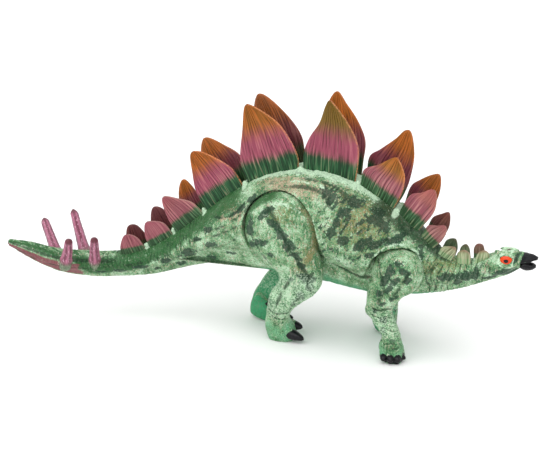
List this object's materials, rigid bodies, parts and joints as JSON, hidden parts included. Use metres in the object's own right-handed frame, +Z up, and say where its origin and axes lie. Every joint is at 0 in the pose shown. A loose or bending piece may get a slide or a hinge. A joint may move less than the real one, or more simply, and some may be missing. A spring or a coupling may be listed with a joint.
{
  "type": "toy dinosaur figure",
  "caption": "Moulded Stegosaurus figure with two rows of back plates, tail spikes and legs that swing on hip and shoulder pins.",
  "frame": {"origin": "centre of the figure's footprint box, on the surface it stands on", "axes": "+X towards the head, +Y to the animal's left, +Z up"},
  "size_m": [0.2796, 0.0724, 0.1339],
  "materials": {
    "skin_vinyl": "satin painted vinyl, mint green over emerald with dark green mottling",
    "plate_vinyl": "satin painted vinyl, green root through mauve to orange tip",
    "spike_vinyl": "satin painted vinyl, mauve",
    "beak_dark": "semi-gloss black paint",
    "eye_gloss": "gloss orange-red iris with a black pupil",
    "pivot_plastic": "plain unpainted green plastic"
  },
  "bodies": {
    "trunk": {"body_shell_left": "skin_vinyl", "body_shell_right": "skin_vinyl", "eye_left": "eye_gloss", "eye_right": "eye_gloss", "lower_beak": "beak_dark", "plate_left_01": "plate_vinyl", "plate_left_02": "plate_vinyl", "plate_left_03": "plate_vinyl", "plate_left_04": "plate_vinyl", "plate_left_05": "plate_vinyl", "plate_left_06": "plate_vinyl", "plate_left_07": "plate_vinyl", "plate_left_08": "plate_vinyl", "plate_left_09": "plate_vinyl", "plate_left_10": "plate_vinyl", "plate_left_11": "plate_vinyl", "plate_left_12": "plate_vinyl", "plate_right_01": "plate_vinyl", "plate_right_02": "plate_vinyl", "plate_right_03": "plate_vinyl", "plate_right_04": "plate_vinyl", "plate_right_05": "plate_vinyl", "plate_right_06": "plate_vinyl", "plate_right_07": "plate_vinyl", "plate_right_08": "plate_vinyl", "plate_right_09": "plate_vinyl", "plate_right_10": "plate_vinyl", "plate_right_11": "plate_vinyl", "plate_right_12": "plate_vinyl", "tail_spike_left_front": "spike_vinyl", "tail_spike_left_rear": "spike_vinyl", "tail_spike_right_front": "spike_vinyl", "tail_spike_right_rear": "spike_vinyl"},
    "rear_leg_right_limb": {"rear_leg_right": "skin_vinyl", "hip_pin_right": "pivot_plastic", "hip_retainer_right": "pivot_plastic"},
    "front_leg_right_limb": {"front_leg_right": "skin_vinyl", "shoulder_pin_right": "pivot_plastic", "shoulder_retainer_right": "pivot_plastic"},
    "rear_leg_left_limb": {"rear_leg_left": "skin_vinyl", "hip_pin_left": "pivot_plastic", "hip_retainer_left": "pivot_plastic"},
    "front_leg_left_limb": {"front_leg_left": "skin_vinyl", "shoulder_pin_left": "pivot_plastic", "shoulder_retainer_left": "pivot_plastic"}
  },
  "joints": [
    {"name": "hip_right", "type": "hinge", "parent": "trunk", "child": "rear_leg_right_limb", "pos_m": [0.0102, -0.00921, 0.065], "axis": [0, -1, 0], "range_deg": [-34, 6]},
    {"name": "hip_left", "type": "hinge", "parent": "trunk", "child": "rear_leg_left_limb", "pos_m": [0.0102, 0.02249, 0.065], "axis": [0, -1, 0], "range_deg": [-17, 23]},
    {"name": "shoulder_right", "type": "hinge", "parent": "trunk", "child": "front_leg_right_limb", "pos_m": [0.0712, -0.00581, 0.049], "axis": [0, -1, 0], "range_deg": [-20, 36]},
    {"name": "shoulder_left", "type": "hinge", "parent": "trunk", "child": "front_leg_left_limb", "pos_m": [0.0712, 0.01909, 0.049], "axis": [0, -1, 0], "range_deg": [-3, 53]}
  ]
}
